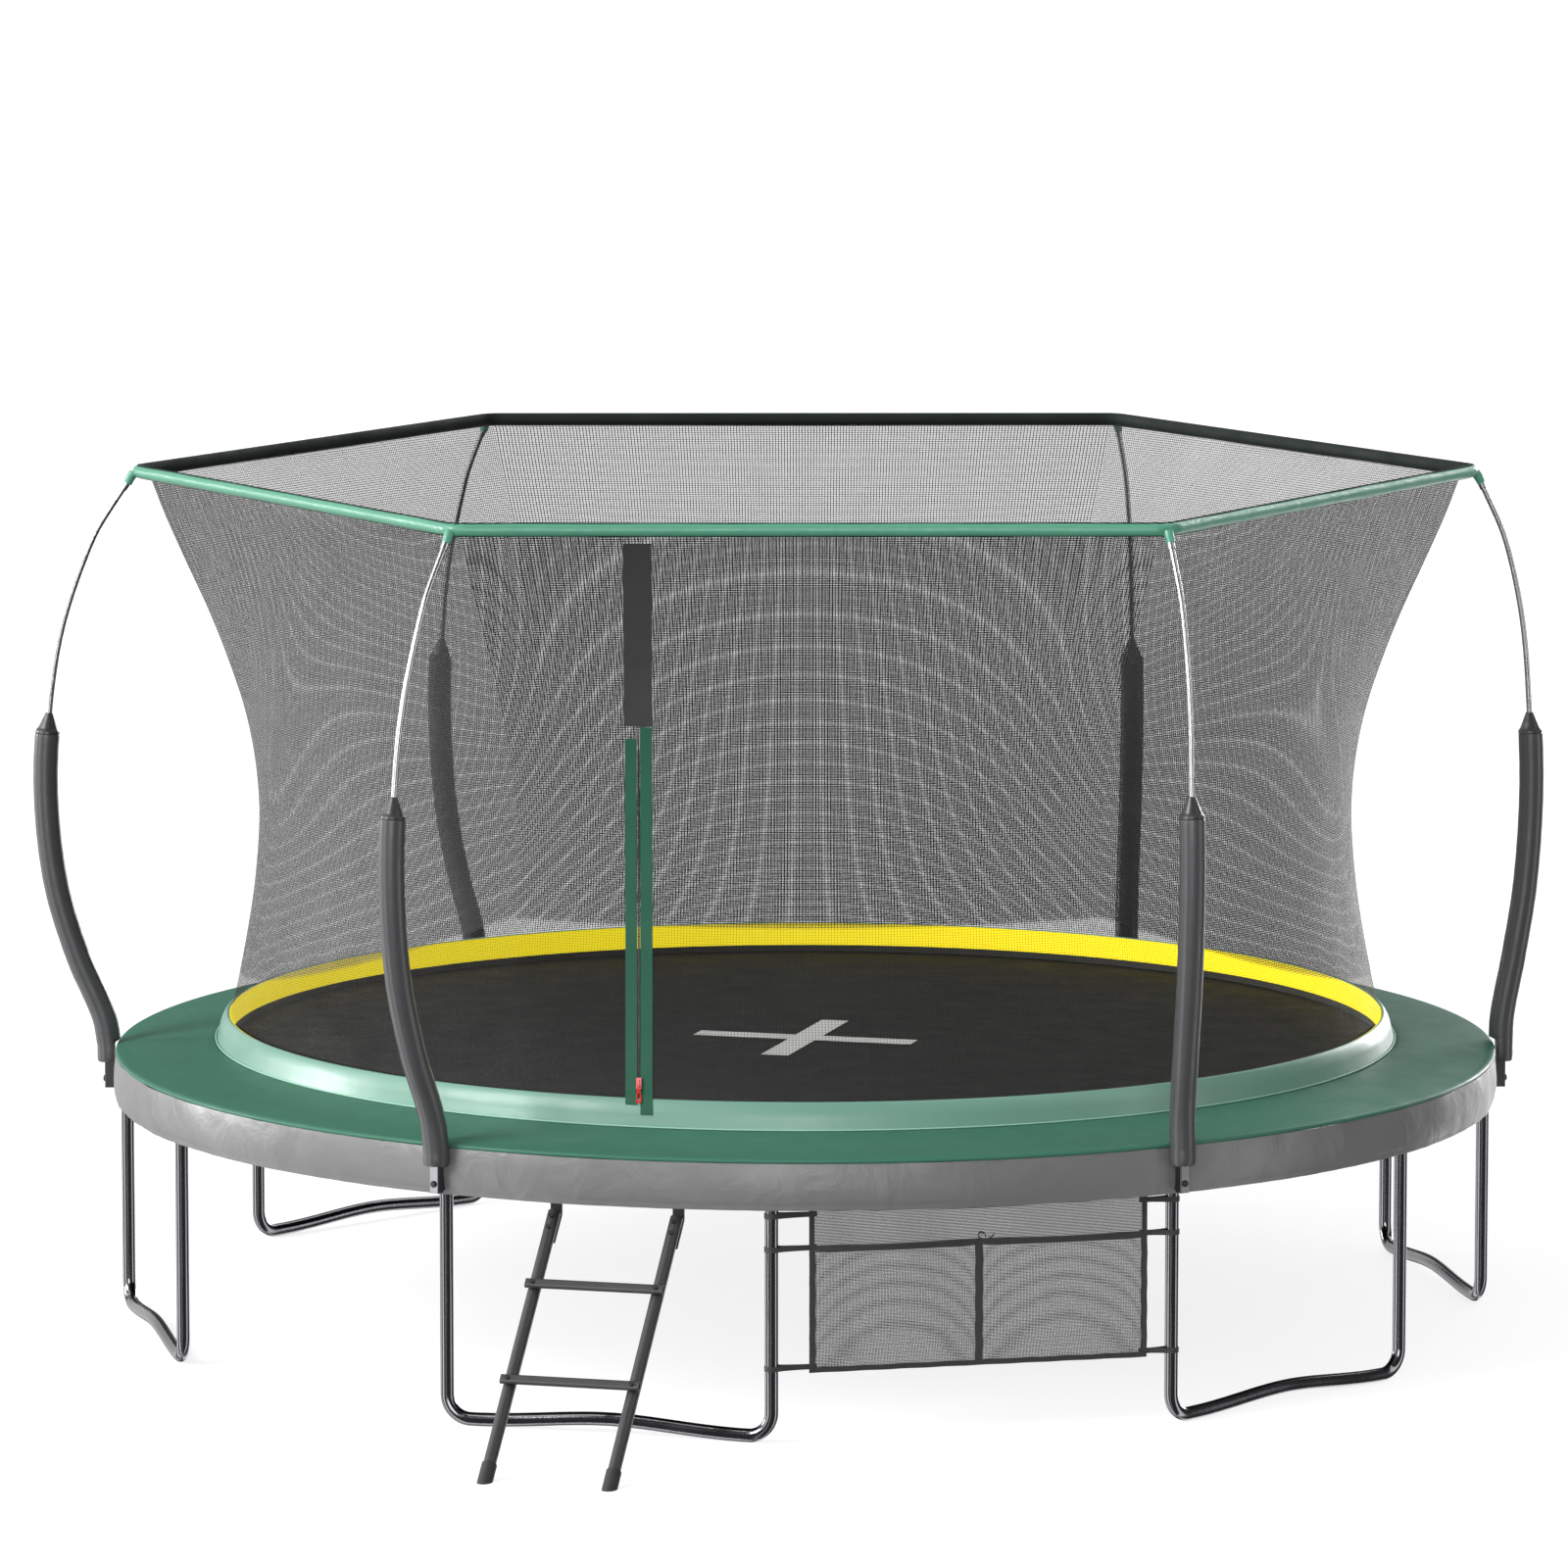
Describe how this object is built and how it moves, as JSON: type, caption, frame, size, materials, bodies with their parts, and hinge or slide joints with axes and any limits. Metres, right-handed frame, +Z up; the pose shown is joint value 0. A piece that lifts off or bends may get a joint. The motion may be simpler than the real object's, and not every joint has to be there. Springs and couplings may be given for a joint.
{
  "type": "trampoline",
  "caption": "Round garden trampoline on U-shaped tube legs, with a padded rim, bowed poles, a hexagonal top ring, a zipped safety net, a hanging ladder and a mesh storage bag.",
  "frame": {"origin": "floor level at the middle of the trampoline", "axes": "+Z up, -Y towards the side with the zipped door and the ladder, +X to the right when facing that side"},
  "size_m": [4.0159, 4.2147, 2.261],
  "materials": {
    "steel_black": "gloss black enamel on steel tube",
    "zinc": "zinc plated",
    "rod_silver": "drawn, satin",
    "spring_steel": "galvanised wire",
    "foam_black": "matte closed-cell foam",
    "cap_plastic": "moulded, satin",
    "pad_green": "coated woven sheet over foam",
    "collar_mint": "coated woven sheet over foam",
    "piping_green": "sewn cord edge",
    "band_yellow": "coated woven sheet",
    "strip_dark": "woven webbing",
    "skirt_grey": "light coated woven sheet",
    "mat_black": "woven mesh",
    "mark_grey": "woven mesh, light thread",
    "web_black": "woven webbing",
    "net_mesh": "fine knotted mesh, see-through",
    "sleeve_mint": "coated woven sheet, satin",
    "zip_green": "woven zip tape",
    "zip_chain": "moulded coil",
    "slider_red": "moulded, gloss",
    "ladder_grey": "powder coat",
    "rubber_black": "moulded",
    "bag_mesh": "fine knotted mesh",
    "bolt_black": "blacked"
  },
  "bodies": {
    "root": {"frame_rails": "steel_black", "rail_t_sockets": "steel_black", "socket_screws": "zinc", "leg_u_1": "steel_black", "leg_u_2": "steel_black", "leg_u_3": "steel_black", "leg_u_4": "steel_black", "leg_u_5": "steel_black", "leg_u_6": "steel_black", "pole_tubes": "zinc", "pole_rods": "rod_silver", "pole_foam_sleeves": "foam_black", "pole_sleeve_caps": "cap_plastic", "pole_sockets": "steel_black", "pole_spacers": "cap_plastic", "pole_bolts": "bolt_black", "pole_nuts": "bolt_black", "ring_sleeve": "sleeve_mint", "ring_rods": "rod_silver", "ring_connectors": "zinc", "rod_ferrules": "cap_plastic", "net_panel_1": "net_mesh", "net_panel_2": "net_mesh", "net_panel_3": "net_mesh", "net_panel_4": "net_mesh", "net_panel_5": "net_mesh", "net_panel_6": "net_mesh", "door_webbing": "web_black", "zip_tape_left": "zip_green", "zip_tape_right": "zip_green", "zip_chain": "zip_chain", "frame_pad": "pad_green", "pad_collar": "collar_mint", "pad_piping": "piping_green", "pad_inner_band": "band_yellow", "pad_drop_strip": "strip_dark", "pad_skirt": "skirt_grey", "springs": "spring_steel", "bag_back_mesh": "bag_mesh", "bag_pockets": "bag_mesh", "bag_binding": "web_black", "bag_straps": "web_black", "bag_tie": "web_black"},
    "mat": {"mat": "mat_black", "mat_edge_webbing": "web_black", "mat_v_rings": "zinc", "mat_cross_mark": "mark_grey"},
    "slider": {"zip_slider": "slider_red"},
    "pull": {"zip_pull": "slider_red"},
    "ladder": {"ladder_rails": "ladder_grey", "ladder_rungs": "ladder_grey", "ladder_hooks": "ladder_grey", "ladder_feet": "rubber_black", "ladder_bolts": "bolt_black"}
  },
  "joints": [
    {"name": "mat_bounce", "type": "slide", "parent": "root", "child": "mat", "axis": [0, 0, 1], "range_m": [-0.35, 0], "stiffness_N_per_m": 6000, "springref_m": 0.08, "deforming": ["springs"]},
    {"name": "zip_travel", "type": "hinge", "parent": "root", "child": "slider", "pos_m": [-0.426, -3.5559, 1.4414], "axis": [1, 0, 0], "range_deg": [0, 21.4]},
    {"name": "pull_swing", "type": "hinge", "parent": "slider", "child": "pull", "pos_m": [-0.426, -1.47109, 0.84088], "axis": [-1, 0, 0], "range_deg": [0, 90]},
    {"name": "ladder_swing", "type": "hinge", "parent": "root", "child": "ladder", "pos_m": [-0.48186, -1.73752, 0.68], "axis": [-0.9636, 0.2672, 0], "range_deg": [0, 15]}
  ]
}
